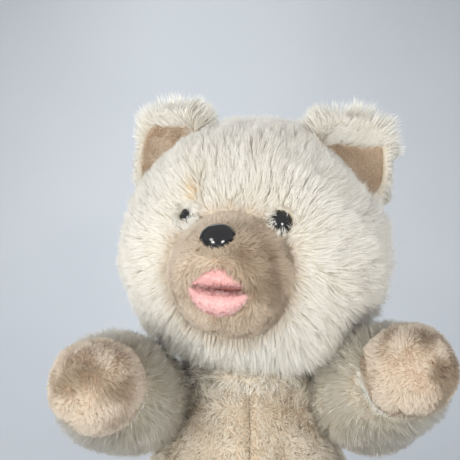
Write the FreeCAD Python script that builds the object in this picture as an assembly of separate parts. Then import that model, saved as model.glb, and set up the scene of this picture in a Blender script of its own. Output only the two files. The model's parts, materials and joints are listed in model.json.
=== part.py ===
"""Plush bear hand puppet: a glove body with stuffed arms, a stuffed head on a soft neck and an open, hinged mouth.

Frame: millimetres, +Z up, the puppet looks along -Y, its own left side is +X.
The origin is the centre of the hand opening, on the plane that the hem stands on.
"""

import math
import os

import FreeCAD
import Part

V = FreeCAD.Vector
X, Y, Z = V(1, 0, 0), V(0, 1, 0), V(0, 0, 1)

# ---- Driving dimensions -------------------------------------------------------------------------
SEWN_GAP = 0.1          # layers that are sewn together lie this far apart
SEAM_GAP = 0.3          # between two panels along a seam

# Glove body
BODY_PROFILE = ((58, 0), (58.5, 30), (54, 62), (44, 90), (35, 112), (31, 121))  # outer radius, height
BODY_PLUSH = 4.0        # plush backing with the root of its pile
LINING = 1.2
HEM_HEIGHT = 12.0
HEM_PLUSH = 4.0
BODY_TOP = BODY_PROFILE[-1][1]
SIDE_SEAM_Y = -10.8     # the side seams run up to the middle of the shoulder holes
LABEL = (0.6, 14.0, 30.0)  # thickness, width, height
LABEL_BACK, LABEL_BOTTOM = 49.8, 15.0

# Neck
NECK_PIVOT = V(0, 0, 160)
COLLAR = (25.5, 30.5, 4.0)      # inner radius, outer radius, height
TUBE = (11.0, 12.2, -28.0, 26.0)  # finger tube: inner and outer radius, bottom and top from the pivot

# Head, in its own frame: origin at its middle, looking along -Y
HEAD_ABOVE_PIVOT = 32.0
HEAD_TURN, HEAD_TILT, HEAD_NOD = -12.0, 2.8, -4.5   # degrees at rest
HEAD_SIDE, HEAD_ROUND = 66.0, 62.0                 # half width, and half height and depth
PLUSH = 3.0
NECK_HOLE = 25.0
POCKET = (21.5, 22.7, -61.0, 16.0)                 # finger pocket: inner and outer radius, bottom, top
FILLING_WEDGES = 8                                 # the filling lies round the pocket in wedges
FILLING_CAP_Z = 32.0                               # and over it in one cap
GUSSET_HALF = 19.0
BACK_SEAM_Y = 8.0

# Muzzle and mouth, in the head's frame
MUZZLE_MIDDLE = V(0, -50, -14)
MUZZLE_LENGTH, MUZZLE_ROUND = 34.0, 31.0
MOUTH_FOLD = V(0, -60, -20)                        # the jaw's hinge line, along X
MOUTH_HALF_ANGLE = 25.0                            # each lip's slope away from the fold, degrees
MOUTH_HALF_WIDTH, MOUTH_HALF_HEIGHT = 18.0, 12.5
MOUTH_LINING = 2.2
LIP_PROUD = 2.5                                    # how far the lips stand out of the muzzle
MOUTH_SEAM = 0.4                                   # half the gap between chin and muzzle at the corners
JAW_OPENS = 18.0

# Nose and eyes
NOSE_RADIUS, NOSE_DEPTH, NOSE_PITCH = 10.0, 6.0, 36.0
EYE_RADIUS = 6.5
EYE_AT = (23.5, 13.0)                              # from the middle: sideways, up
POST_RADIUS, POST_LENGTH = 1.8, 12.0
WASHER_RADIUS, WASHER_THICK, WASHER_DEEPER = 6.0, 1.2, 1.4

# Ears
EAR_RADIUS, EAR_HALF_THICK = 23.0, 7.0
EAR_AT = V(50, 2, 47)
EAR_OUTWARD, EAR_BACKWARD = 28.0, 8.0              # how the ear's face is turned, degrees
EAR_CUP_RADIUS, EAR_CUP_DEPTH, EAR_LINING = 17.0, 4.6, 2.2

# Arms
SHOULDER = V(64, -20, 112)
ARM_RADIUS, PAW_RADIUS = 26.0, 22.5
ARM_LENGTH = 60.0                                  # shoulder pivot to the middle of the paw
LEFT_ARM_AIM = V(0.20, -0.87, 0.43)
RIGHT_ARM_AIM = V(-0.16, -0.91, 0.31)
ARM_POCKET = (9.5, 10.5)                           # inner and outer radius
ARM_POCKET_END = 46.0
PAD_FROM = 46.0                                    # the paw pad starts this far along the arm
PASSAGE = 10.0                                     # finger passage through the shoulder
GUSSET_SHELL = (27.2, 29.0)
GUSSET_CONE = 37.0                                 # half angle of the shoulder gusset


# ---- Helpers ------------------------------------------------------------------------------------
def unit(v):
    return V(v).normalize()


def cylinder(radius, start, along, length):
    return Part.makeCylinder(radius, length, start, along)


def tube(inner, outer, start, along, length):
    return cylinder(outer, start, along, length).cut(cylinder(inner, start, along, length))


def spheroid(middle, axis, axis_radius, side_radius):
    """An ellipsoid of revolution about axis."""
    turned = FreeCAD.Rotation(Y, axis)
    if axis_radius >= side_radius:
        ellipse = Part.Ellipse(V(0, axis_radius, 0), V(side_radius, 0, 0), V(0, 0, 0))
    else:
        ellipse = Part.Ellipse(V(side_radius, 0, 0), V(0, axis_radius, 0), V(0, 0, 0))
    low, high, side = V(0, -axis_radius, 0), V(0, axis_radius, 0), V(side_radius, 0, 0)
    start, end = sorted((ellipse.parameter(low), ellipse.parameter(high)))
    arc = Part.ArcOfEllipse(ellipse, start, end)
    if not start <= ellipse.parameter(side) <= end:
        arc = Part.ArcOfEllipse(ellipse, end, start + 2 * math.pi)
    edges = [arc.toShape(), Part.LineSegment(arc.EndPoint, arc.StartPoint).toShape()]
    face = Part.Face(Part.Wire(edges))
    solid = face.revolve(V(0, 0, 0), Y, 360)
    solid = solid if solid.ShapeType == "Solid" else Part.Solid(solid)
    solid.Placement = FreeCAD.Placement(middle, turned)
    return solid


def capsule(start_radius, end_radius, start, along, length):
    """A tapered rod with round ends, centred on start and on the point length further along."""
    slope = math.asin((start_radius - end_radius) / length)
    across, ahead = V(math.cos(slope), 0, 0), V(0, 0, math.sin(slope))
    end = V(0, 0, length)
    low, join_low = V(0, 0, -start_radius), (across + ahead) * start_radius
    join_high, high = end + (across + ahead) * end_radius, end + V(0, 0, end_radius)
    bend_low = unit(join_low + low) * start_radius
    bend_high = end + unit((join_high - end) + (high - end)) * end_radius
    edges = [Part.Arc(low, bend_low, join_low).toShape(),
             Part.LineSegment(join_low, join_high).toShape(),
             Part.Arc(join_high, bend_high, high).toShape(),
             Part.LineSegment(high, low).toShape()]
    rod = Part.Face(Part.Wire(edges)).revolve(V(0, 0, 0), Z, 360)
    rod = rod if rod.ShapeType == "Solid" else Part.Solid(rod)
    rod.Placement = FreeCAD.Placement(start, FreeCAD.Rotation(Z, along))
    return rod


def half_space(point, normal, reach=400):
    """A big block that fills the side of a plane that normal points to."""
    block = Part.makeBox(reach, reach, reach, V(-reach / 2, -reach / 2, 0))
    block.Placement = FreeCAD.Placement(point, FreeCAD.Rotation(Z, normal))
    return block


def wedge(count, of_all):
    """One of the equal wedges round the Z axis, with half a sewn gap left free on each side."""
    middle, half = 360 * count / of_all - 90, 180 / of_all
    sides = []
    for edge, sense in ((middle - half, 1), (middle + half, -1)):
        along = math.radians(edge)
        inside = V(-math.sin(along), math.cos(along), 0) * sense
        sides.append(half_space(inside * (SEWN_GAP / 2), inside))
    return sides[0].common(sides[1])


def turned(shape, point, axis, degrees):
    copy = shape.copy()
    copy.rotate(point, axis, degrees)
    return copy


def mirrored(shape):
    return shape.mirror(V(0, 0, 0), X)


PARTS = {}


def keep(name, shape, placement=None):
    """Keeps a sub-part's solids, moved to their place in the puppet."""
    solids = [s for s in shape.Solids if s.Volume > 1.0]
    assert solids, name
    made = solids[0] if len(solids) == 1 else Part.makeCompound(solids)
    if placement is not None:
        made = made.copy()
        made.Placement = placement.multiply(made.Placement)
    PARTS[name] = made


# ---- Glove body ---------------------------------------------------------------------------------
def body_wall(outside, inside, bottom=0.0):
    """A round wall that follows the body's outline, from outside to inside its outer face."""
    def curve(inset):
        line = Part.BSplineCurve()
        line.interpolate([V(radius - inset, 0, height) for radius, height in BODY_PROFILE])
        return line.toShape()

    outer, inner = curve(outside), curve(inside)
    low = Part.LineSegment(inner.Vertexes[0].Point, outer.Vertexes[0].Point).toShape()
    high = Part.LineSegment(outer.Vertexes[-1].Point, inner.Vertexes[-1].Point).toShape()
    wire = Part.Wire(Part.__sortEdges__([outer, high, inner, low]))
    wall = Part.Face(wire).revolve(V(0, 0, 0), Z, 360)
    wall = wall if wall.ShapeType == "Solid" else Part.Solid(wall)
    return wall.cut(half_space(V(0, 0, bottom), -Z)) if bottom else wall


def shoulder_passages():
    """The two holes through which fingers reach the arms."""
    holes = []
    for side in (1, -1):
        shoulder = V(side * SHOULDER.x, SHOULDER.y, SHOULDER.z)
        inward = unit(V(-shoulder.x, -shoulder.y, 0))
        holes.append(cylinder(PASSAGE, shoulder + inward * 10, inward, 45))
    return holes


def build_body():
    holes = shoulder_passages()
    plush = body_wall(0, BODY_PLUSH, HEM_HEIGHT + SEAM_GAP).cut(holes)
    half_seam = SEAM_GAP / 2
    behind = half_space(V(0, SIDE_SEAM_Y + half_seam, 0), Y)
    before = half_space(V(0, SIDE_SEAM_Y - half_seam, 0), -Y)
    for name, side in (("left", X), ("right", -X)):
        half = plush.common(half_space(side * half_seam, side))
        keep("front_" + name + "_panel", half.common(before))
        keep("back_" + name + "_panel", half.common(behind))
    inside = BODY_PLUSH + SEWN_GAP
    keep("body_lining", body_wall(inside, inside + LINING, HEM_HEIGHT + SEAM_GAP).cut(holes))
    hem_outer = BODY_PROFILE[0][0]
    keep("hem_band", tube(hem_outer - HEM_PLUSH - LINING, hem_outer, V(0, 0, 0), Z, HEM_HEIGHT))
    thick, wide, high = LABEL
    keep("care_label", Part.makeBox(wide, thick, high, V(-wide / 2, LABEL_BACK, LABEL_BOTTOM)))


# ---- Neck ---------------------------------------------------------------------------------------
def build_neck():
    inner, outer, high = COLLAR
    keep("neck_collar", tube(inner, outer, V(0, 0, BODY_TOP + 0.6), Z, high))
    inner, outer, low, top = TUBE
    keep("finger_tube", tube(inner, outer, NECK_PIVOT + Z * low, Z, top - low))


# ---- Head ---------------------------------------------------------------------------------------
def head_placement():
    """From the head's own frame to the puppet's: turned about the neck pivot."""
    lift = FreeCAD.Placement(Z * HEAD_ABOVE_PIVOT, FreeCAD.Rotation())
    turn = FreeCAD.Rotation(Z, HEAD_TURN)
    tilt = FreeCAD.Rotation(Y, HEAD_TILT)
    nod = FreeCAD.Rotation(X, HEAD_NOD)
    return FreeCAD.Placement(NECK_PIVOT, turn.multiply(tilt).multiply(nod)).multiply(lift)


def head_solid(inset):
    return spheroid(V(0, 0, 0), X, HEAD_SIDE - inset, HEAD_ROUND - inset)


def muzzle_solid(inset):
    return spheroid(MUZZLE_MIDDLE, Y, MUZZLE_LENGTH - inset, MUZZLE_ROUND - inset)


def above_mouth():
    """The muzzle's side of the level through the fold."""
    return half_space(MOUTH_FOLD + Z * MOUTH_SEAM, Z)


def below_mouth():
    """The chin's side, cut away behind the fold so that the chin can turn down."""
    slant = math.radians(JAW_OPENS + 2)
    behind = half_space(MOUTH_FOLD, V(0, -math.sin(slant), -math.cos(slant)))
    return half_space(MOUTH_FOLD - Z * MOUTH_SEAM, -Z).common(behind)


def mouth_space(inset):
    """The open mouth: a wedge in front of the fold with an oval outline."""
    slope = math.radians(MOUTH_HALF_ANGLE)
    wide, high = MOUTH_HALF_WIDTH - inset, MOUTH_HALF_HEIGHT - inset
    oval = Part.Ellipse(MOUTH_FOLD, wide, high).toShape()
    oval.rotate(MOUTH_FOLD, X, 90)
    block = Part.Face(Part.Wire([oval])).extrude(V(0, -80, 0))
    tip = MOUTH_FOLD - Y * (inset / math.sin(slope))
    for side in (1, -1):
        block = block.common(half_space(tip, V(0, -math.sin(slope), -side * math.cos(slope))))
    return block


def nose_axis():
    pitch = math.radians(NOSE_PITCH)
    return V(0, -math.cos(pitch), math.sin(pitch))


def nose_seat():
    """Where the nose's axis leaves the muzzle."""
    out = nose_axis()
    stretch = math.sqrt((out.y / MUZZLE_LENGTH) ** 2 + (out.z / MUZZLE_ROUND) ** 2)
    return MUZZLE_MIDDLE + out * (1 / stretch)


def eye_seat(side):
    """Where an eye's back meets the face, and the way it looks."""
    across, up = EYE_AT
    depth = HEAD_ROUND * math.sqrt(1 - (across / HEAD_SIDE) ** 2 - (up / HEAD_ROUND) ** 2)
    seat = V(side * across, -depth, up)
    out = unit(V(seat.x / HEAD_SIDE ** 2, seat.y / HEAD_ROUND ** 2, seat.z / HEAD_ROUND ** 2))
    return seat, out


def fitting(seat, out, dome):
    """A plastic nose or eye: its dome on a post, the washer that holds it, and the room they need."""
    post = cylinder(POST_RADIUS, seat, -out, POST_LENGTH)
    at = seat - out * (PLUSH + WASHER_DEEPER)
    washer = tube(POST_RADIUS + SEWN_GAP, WASHER_RADIUS, at - out * WASHER_THICK, out, WASHER_THICK)
    room = cylinder(WASHER_RADIUS + SEWN_GAP, seat - out * (POST_LENGTH + 1), out, POST_LENGTH)
    hole = cylinder(POST_RADIUS + SEWN_GAP, seat - out * POST_LENGTH, out, POST_LENGTH + 8)
    return dome.fuse(post), washer, room, hole


def eye_fitting(side):
    seat, out = eye_seat(side)
    ball = Part.makeSphere(EYE_RADIUS, seat + out * 0.5)
    dome = ball.common(half_space(seat + out * SEWN_GAP, out))
    return fitting(seat, out, dome)


def nose_fitting():
    seat, out = nose_seat(), nose_axis()
    ball = spheroid(seat, out, NOSE_DEPTH, NOSE_RADIUS)
    side = V(out).cross(X)
    flat = half_space(seat - side * (NOSE_RADIUS * 0.72), side)
    dome = ball.common(half_space(seat + out * 0.6, out)).common(flat)
    return fitting(seat, out, dome)


def lens(middle, axis, half_thick, radius):
    """A round lens about axis: what two balls have in common."""
    ball = (radius ** 2 + half_thick ** 2) / (2 * half_thick)
    shift = axis * (ball - half_thick)
    return Part.makeSphere(ball, middle + shift).common(Part.makeSphere(ball, middle - shift))


def dish(rim, axis, depth, radius, inset):
    """A ball that hollows out a dish of this depth and radius under its rim's middle."""
    ball = (radius ** 2 + depth ** 2) / (2 * depth)
    return Part.makeSphere(ball - inset, rim + axis * (ball - depth))


def ear_pieces():
    """The left ear: a cupped plush back and the lining sewn into the cup."""
    face = FreeCAD.Rotation(Z, EAR_OUTWARD).multVec(V(0, -1, 0))
    face = unit(face + Z * math.tan(math.radians(EAR_BACKWARD)))
    disc = lens(EAR_AT, face, EAR_HALF_THICK, EAR_RADIUS)
    rim = EAR_AT + face * (EAR_HALF_THICK / 2)
    cup, sewn, floor = [dish(rim, face, EAR_CUP_DEPTH, EAR_CUP_RADIUS, inset)
                        for inset in (0, SEWN_GAP, EAR_LINING)]
    head = head_solid(-SEAM_GAP)
    back = disc.cut(cup).cut(head)
    return back, disc.common(sewn).cut(floor).cut(head)


def build_head():
    place = head_placement()
    half_seam = SEAM_GAP / 2
    neck_hole = cylinder(NECK_HOLE, V(0, 0, -HEAD_ROUND - 10), Z, 40)
    inner, outer, low, top = POCKET
    mouth = mouth_space(0)

    nose, nose_washer, nose_room, nose_hole = nose_fitting()
    keep("nose", nose, place)
    keep("nose_washer", nose_washer, place)
    rooms, holes = [nose_room], [nose_hole]
    for name, side in (("left", 1), ("right", -1)):
        eye, washer, room, hole = eye_fitting(side)
        keep(name + "_eye", eye, place)
        keep(name + "_eye_washer", washer, place)
        rooms.append(room)
        holes.append(hole)

    skin = head_solid(0).cut(head_solid(PLUSH)).cut([neck_hole, muzzle_solid(-SEAM_GAP)] + holes)
    behind = half_space(V(0, BACK_SEAM_Y + half_seam, 0), Y)
    before = half_space(V(0, BACK_SEAM_Y - half_seam, 0), -Y)
    keep("head_back_panel", skin.common(behind), place)
    face = skin.common(before)
    strip = half_space(V(GUSSET_HALF - half_seam, 0, 0), -X).common(
        half_space(V(-GUSSET_HALF + half_seam, 0, 0), X)).common(half_space(V(0, 0, 0), Z))
    keep("head_gusset", face.common(strip), place)
    cheeks = face.cut(half_space(V(GUSSET_HALF + half_seam, 0, 0), -X).common(
        half_space(V(-GUSSET_HALF - half_seam, 0, 0), X)).common(half_space(V(0, 0, -half_seam), Z)))
    keep("head_left_panel", cheeks.common(half_space(V(half_seam, 0, 0), X)), place)
    keep("head_right_panel", cheeks.common(half_space(V(-half_seam, 0, 0), -X)), place)

    muzzle = muzzle_solid(0).cut(muzzle_solid(PLUSH)).common(above_mouth())
    keep("muzzle_panel", muzzle.cut([head_solid(PLUSH), mouth] + holes), place)
    lips = muzzle_solid(-LIP_PROUD).common(mouth_space(SEWN_GAP)).cut(mouth_space(MOUTH_LINING))
    keep("upper_mouth_lining", lips.common(above_mouth()), place)

    pocket = tube(inner, outer, V(0, 0, low), Z, top - low)
    cap = Part.makeSphere(outer, V(0, 0, top)).cut(Part.makeSphere(inner, V(0, 0, top)))
    keep("head_pocket", pocket.fuse(cap.common(half_space(V(0, 0, top), Z))), place)

    inset = PLUSH + SEWN_GAP
    bore = cylinder(outer + SEWN_GAP, V(0, 0, -100), Z, 100 + top).fuse(
        Part.makeSphere(outer + SEWN_GAP, V(0, 0, top)))
    filling = head_solid(inset).fuse(muzzle_solid(inset).common(above_mouth()))
    filling = filling.cut([bore, neck_hole, mouth] + rooms)
    cap = half_space(V(0, 0, FILLING_CAP_Z + SEWN_GAP / 2), Z)
    pieces = [filling.common(cap)]
    around = filling.common(half_space(V(0, 0, FILLING_CAP_Z - SEWN_GAP / 2), -Z))
    for count in range(FILLING_WEDGES):
        pieces.append(around.common(wedge(count, FILLING_WEDGES)))
    keep("head_stuffing", Part.makeCompound(pieces), place)

    back, lining = ear_pieces()
    keep("left_ear_back", back, place)
    keep("left_ear_lining", lining, place)
    keep("right_ear_back", mirrored(back), place)
    keep("right_ear_lining", mirrored(lining), place)
    build_jaw(place, mouth, lips)


def build_jaw(place, mouth, lips):
    """The chin, cut back so that it can drop without meeting the face behind it."""
    face = head_solid(-2 * SEAM_GAP)
    clear = [turned(face, MOUTH_FOLD, X, -angle) for angle in (0, JAW_OPENS / 2, JAW_OPENS)]
    chin = muzzle_solid(0).common(below_mouth()).cut([mouth] + clear)
    keep("chin_panel", chin.cut(muzzle_solid(PLUSH)), place)
    keep("chin_stuffing", chin.common(muzzle_solid(PLUSH + SEWN_GAP)), place)
    keep("lower_mouth_lining", lips.common(below_mouth()).cut(clear), place)


# ---- Arms ---------------------------------------------------------------------------------------
def arm_solid(inset, shoulder, along):
    return capsule(ARM_RADIUS - inset, PAW_RADIUS - inset, shoulder, along, ARM_LENGTH)


def build_arm(name, side, aim):
    shoulder = V(side * SHOULDER.x, SHOULDER.y, SHOULDER.z)
    along = unit(aim)
    inward = unit(V(-shoulder.x, -shoulder.y, 0))
    passage = [cylinder(PASSAGE, shoulder, inward, 40), Part.makeSphere(PASSAGE, shoulder)]
    shell = arm_solid(0, shoulder, along).cut(arm_solid(PLUSH, shoulder, along))
    pad_side = half_space(shoulder + along * (PAD_FROM + SEAM_GAP / 2), along)
    sleeve_side = half_space(shoulder + along * (PAD_FROM - SEAM_GAP / 2), -along)
    keep(name + "_arm_sleeve", shell.common(sleeve_side).cut(passage))
    keep(name + "_paw_pad", shell.common(pad_side))

    inner, outer = ARM_POCKET
    start = shoulder + along * (PASSAGE + 2)

    def rod(radius):
        reach = ARM_POCKET_END - PASSAGE
        tip = Part.makeSphere(radius, start + along * reach)
        return cylinder(radius, start, along, reach).fuse(tip)

    keep(name + "_arm_pocket", rod(outer).cut(rod(inner)))
    neck = cylinder(outer + SEWN_GAP, shoulder, along, 20)
    filling = arm_solid(PLUSH + SEWN_GAP, shoulder, along)
    keep(name + "_arm_stuffing", filling.cut([rod(outer + SEWN_GAP), neck] + passage))
    near, far = GUSSET_SHELL
    ring = Part.makeSphere(far, shoulder).cut(Part.makeSphere(near, shoulder))
    reach = far + 2
    cone = Part.makeCone(0, reach * math.tan(math.radians(GUSSET_CONE)), reach, shoulder, inward)
    hole = cylinder(PASSAGE + 0.6, shoulder, inward, reach)
    keep(name + "_shoulder_gusset", ring.common(cone).cut(hole))


# ---- Everything ---------------------------------------------------------------------------------
def main():
    build_body()
    build_neck()
    build_head()
    build_arm("left", 1, LEFT_ARM_AIM)
    build_arm("right", -1, RIGHT_ARM_AIM)
    os.makedirs("parts", exist_ok=True)
    for name, shape in PARTS.items():
        assert shape.isValid(), name
        shape.exportStep("parts/" + name + ".step")


main()
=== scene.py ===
"""Looks of the plush bear hand puppet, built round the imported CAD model: skins, pile, plastic and seams.

Everything is in metres in the CAD model's frame: +Z up, the puppet looks along -Y, its own left side is +X.
Lengths that are clearer in millimetres are written as a number times MM.
"""

import json
import math

import bmesh
import bpy
import numpy as np
from mathutils import Matrix
from mathutils.kdtree import KDTree


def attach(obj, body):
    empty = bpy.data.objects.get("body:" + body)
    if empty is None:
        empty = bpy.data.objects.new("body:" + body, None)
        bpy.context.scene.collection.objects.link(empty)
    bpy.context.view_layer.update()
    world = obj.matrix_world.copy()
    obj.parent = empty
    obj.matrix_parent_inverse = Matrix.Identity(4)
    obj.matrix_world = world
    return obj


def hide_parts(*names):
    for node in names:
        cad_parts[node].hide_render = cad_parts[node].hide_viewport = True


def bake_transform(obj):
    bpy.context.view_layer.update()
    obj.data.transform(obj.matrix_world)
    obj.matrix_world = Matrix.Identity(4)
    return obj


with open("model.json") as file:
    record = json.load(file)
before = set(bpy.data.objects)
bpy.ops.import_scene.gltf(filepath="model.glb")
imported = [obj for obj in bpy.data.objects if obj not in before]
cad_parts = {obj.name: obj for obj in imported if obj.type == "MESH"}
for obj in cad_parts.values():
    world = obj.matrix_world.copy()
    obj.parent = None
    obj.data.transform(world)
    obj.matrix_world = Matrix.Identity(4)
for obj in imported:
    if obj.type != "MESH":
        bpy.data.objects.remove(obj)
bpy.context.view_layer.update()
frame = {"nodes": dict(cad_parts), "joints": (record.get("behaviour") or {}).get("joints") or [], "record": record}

MM = 0.001
JOINTS = {joint["name"]: joint for joint in frame["joints"]}

# ---- Driving values ---------------------------------------------------------------------------
SEED = 20
PILE_SHARE = 1.0
LIGHT_THROUGH = 0.35                     # share of the light that passes through a strand
SCUFFS = 0.03                            # how much the plastic's roughness varies

# The head, in its own frame: origin at its middle, looking along -Y
HEAD_ABOVE_PIVOT = 32 * MM
HEAD_SIZE = np.array([66, 62, 62]) * MM
HEAD_SQUARENESS = 2.3                    # 2 is an ellipsoid, more is squarer
NECK_HOLE = 24 * MM
GUSSET_HALF = 19 * MM
MUZZLE_MIDDLE = np.array([0, -50, -14]) * MM
MUZZLE_SIZE = np.array([31, 34, 31]) * MM
FOLD = np.array([0, -60, -20]) * MM
MOUTH_HALF_WIDTH, LIP_UP, LIP_DOWN = 17 * MM, 11 * MM, 13 * MM
NOSE_PITCH, NOSE_ROLL = math.radians(32), math.radians(12)
NOSE_SIZE = np.array([8.8, 7.2, 6.0]) * MM   # half width, half height, depth
NOSE_ASIDE = -2.3 * MM
EYE_RADIUS = 6.5 * MM
EYE_SUNK = {-1: 4.0 * MM, 1: 0.8 * MM}   # the right eye is drawn in deeper
EYE_LASHES = {-1: 900, 1: 180}           # strands that stray over each eye
EYE_AT = np.array([23.5, 13]) * MM
STAIN_AT = np.array([-20.5, -54, 24]) * MM
EAR_AT = np.array([50, 2, 47]) * MM
EAR_RADIUS, EAR_CUP = 24.5 * MM, 20.5 * MM
EAR_OUTWARD, EAR_BACKWARD = math.radians(28), math.radians(8)

# The arms, along their own length from the shoulder
ARM_AIM = {"left": (0.20, -0.87, 0.43), "right": (-0.16, -0.91, 0.31)}
ARM_RADIUS, WRIST = 25.5 * MM, 46 * MM
PAW_RADIUS, PAW_AT = 21.3 * MM, 59 * MM

# The glove body: outer radius at each height
BODY_PROFILE = np.array([(58, 0), (58.5, 30), (54, 62), (44, 90), (35, 112), (31, 121)]) * MM
HEM_TOP, SIDE_SEAM_Y = 12 * MM, -10.8 * MM


# ---- Small helpers ----------------------------------------------------------------------------
def unit(vectors):
    """Vectors of length one, for one vector or an array of them."""
    vectors = np.asarray(vectors, float)
    return vectors / np.maximum(np.linalg.norm(vectors, axis=-1, keepdims=True), 1e-12)


def smooth(low, high, value):
    """A smooth step from 0 at low to 1 at high."""
    t = np.clip((value - low) / (high - low), 0, 1)
    return t * t * (3 - 2 * t)


def joint_point(name):
    return np.array(JOINTS[name]["pos_m"], float)


def joint_axis(name):
    return unit(JOINTS[name]["axis"])


def waves(seed, size, points, outputs=1):
    """Smooth noise, about -1 to 1: a sum of sine waves in random directions, about size millimetres long."""
    random = np.random.default_rng(seed)
    vectors = unit(random.normal(size=(outputs, 7, 3))) * (2 * math.pi / (size * MM))
    vectors *= random.uniform(0.6, 1.5, (outputs, 7, 1))
    phases = random.uniform(0, 2 * math.pi, (outputs, 7))
    values = [np.sin(points @ v.T + p).mean(axis=1) for v, p in zip(vectors, phases)]
    return 2.0 * (values[0] if outputs == 1 else np.stack(values, axis=1))


def head_frame():
    """The head's middle, and the rotation from its own axes to the puppet's."""
    pivot = joint_point("head_nod")
    across = joint_axis("jaw_open")
    reach = unit(joint_point("jaw_open") - pivot)
    own_reach = unit(FOLD + [0, 0, HEAD_ABOVE_PIVOT])
    own = np.stack([[1, 0, 0], own_reach, np.cross([1, 0, 0], own_reach)], axis=1)
    real = np.stack([across, reach, np.cross(across, reach)], axis=1)
    turn = real @ own.T
    return pivot + turn @ [0, 0, HEAD_ABOVE_PIVOT], turn


HEAD_MIDDLE, HEAD_TURN = head_frame()


def from_head(points):
    """Points in the head's frame, moved to the puppet's."""
    return HEAD_MIDDLE + np.asarray(points) @ HEAD_TURN.T


def to_head(points):
    return (np.asarray(points) - HEAD_MIDDLE) @ HEAD_TURN


# ---- Meshes -----------------------------------------------------------------------------------
def new_mesh(name, points, faces, shade_smooth=True):
    mesh = bpy.data.meshes.new(name)
    mesh.from_pydata(np.asarray(points).tolist(), [], [list(face) for face in faces])
    mesh.validate()
    if shade_smooth:
        mesh.shade_smooth()
    piece = bpy.data.objects.new(name, mesh)
    bpy.context.scene.collection.objects.link(piece)
    return piece


def sphere_grid(detail):
    """Directions and triangles of a round ball with evenly spread corners."""
    made = bmesh.new()
    bmesh.ops.create_icosphere(made, subdivisions=detail, radius=1.0)
    points = np.array([v.co for v in made.verts])
    faces = np.array([[v.index for v in face.verts] for face in made.faces])
    made.free()
    return unit(points), faces


def tube_grid(around, along, closed=True):
    """Faces of a grid of points: along rows of around points each."""
    faces = []
    for row in range(along - 1):
        for column in range(around if closed else around - 1):
            a, b = row * around + column, row * around + (column + 1) % around
            faces.append((a, b, b + around, a + around))
    return faces


def points_of(piece):
    points = np.empty(len(piece.data.vertices) * 3)
    piece.data.vertices.foreach_get("co", points)
    return points.reshape(-1, 3)


def triangles_of(piece):
    """Corner points of each triangle, and corner normals smoothed over the surface."""
    mesh = piece.data
    mesh.calc_loop_triangles()
    corners = np.empty(len(mesh.loop_triangles) * 3, int)
    mesh.loop_triangles.foreach_get("vertices", corners)
    normals = np.empty(len(mesh.vertices) * 3)
    mesh.vertex_normals.foreach_get("vector", normals)
    corners = corners.reshape(-1, 3)
    return points_of(piece)[corners], normals.reshape(-1, 3)[corners]


def scatter(piece, per_square_mm, seed, keep=None):
    """Random roots spread evenly over a piece: where they are, and the surface's normal there."""
    random = np.random.default_rng(seed)
    corners, normals = triangles_of(piece)
    crossed = np.cross(corners[:, 1] - corners[:, 0], corners[:, 2] - corners[:, 0])
    areas = np.linalg.norm(crossed, axis=1) / 2
    count = int(areas.sum() / MM ** 2 * per_square_mm * PILE_SHARE)
    ends = np.cumsum(areas) / areas.sum()
    chosen = np.searchsorted(ends, (np.arange(count) + random.random(count)) / count)
    chosen = np.minimum(chosen, len(areas) - 1)
    a, b = random.random(count), random.random(count)
    over = a + b > 1
    a[over], b[over] = 1 - a[over], 1 - b[over]
    weights = np.stack([1 - a - b, a, b], axis=1)[:, :, None]
    roots = (corners[chosen] * weights).sum(axis=1)
    up = unit((normals[chosen] * weights).sum(axis=1))
    if keep is not None:
        kept = random.random(count) < keep(roots)
        roots, up = roots[kept], up[kept]
    return roots, up


# ---- Pile -------------------------------------------------------------------------------------
def nearest(points, guides):
    """Which guide is nearest to each point."""
    tree = KDTree(len(guides))
    for index, guide in enumerate(guides):
        tree.insert(guide, index)
    tree.balance()
    return np.array([tree.find(point)[1] for point in points])


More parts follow.
